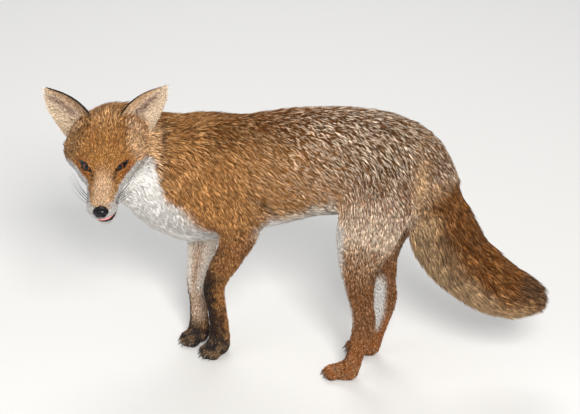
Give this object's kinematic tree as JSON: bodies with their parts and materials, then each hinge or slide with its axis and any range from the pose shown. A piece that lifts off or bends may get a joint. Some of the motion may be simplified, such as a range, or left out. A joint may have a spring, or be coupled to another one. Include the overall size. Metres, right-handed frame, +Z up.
{
  "type": "red fox model",
  "caption": "Life-size still model of a standing red fox: head turned to its left and lowered, mouth just open, bushy tail hanging behind, resting on its soles",
  "frame": {"origin": "on the floor, under the middle of the whole animal's box", "axes": "+X towards the tail along the trunk, +Y towards the fox's right side, +Z up"},
  "size_m": [0.6632, 0.2752, 0.4283],
  "materials": {
    "coat": "matte",
    "pale_coat": "matte",
    "paw_coat": "matte",
    "ear": "matte",
    "nose": "satin",
    "tongue": "satin",
    "eye": "gloss",
    "claw": "satin"
  },
  "bodies": {
    "root": {"ear_left": "ear", "ear_right": "ear", "eye_left": "eye", "eye_right": "eye", "foreleg_left": "coat", "foreleg_right": "coat", "forepaw_left": "paw_coat", "forepaw_left_claw_1": "claw", "forepaw_left_claw_2": "claw", "forepaw_left_claw_3": "claw", "forepaw_left_claw_4": "claw", "forepaw_right": "paw_coat", "forepaw_right_claw_1": "claw", "forepaw_right_claw_2": "claw", "forepaw_right_claw_3": "claw", "forepaw_right_claw_4": "claw", "head": "coat", "hindleg_left": "coat", "hindleg_right": "coat", "hindpaw_left": "paw_coat", "hindpaw_left_claw_1": "claw", "hindpaw_left_claw_2": "claw", "hindpaw_left_claw_3": "claw", "hindpaw_left_claw_4": "claw", "hindpaw_right": "paw_coat", "hindpaw_right_claw_1": "claw", "hindpaw_right_claw_2": "claw", "hindpaw_right_claw_3": "claw", "hindpaw_right_claw_4": "claw", "lower_jaw": "pale_coat", "neck": "coat", "nose": "nose", "tail": "coat", "tongue": "tongue", "trunk": "coat"}
  },
  "joints": []
}
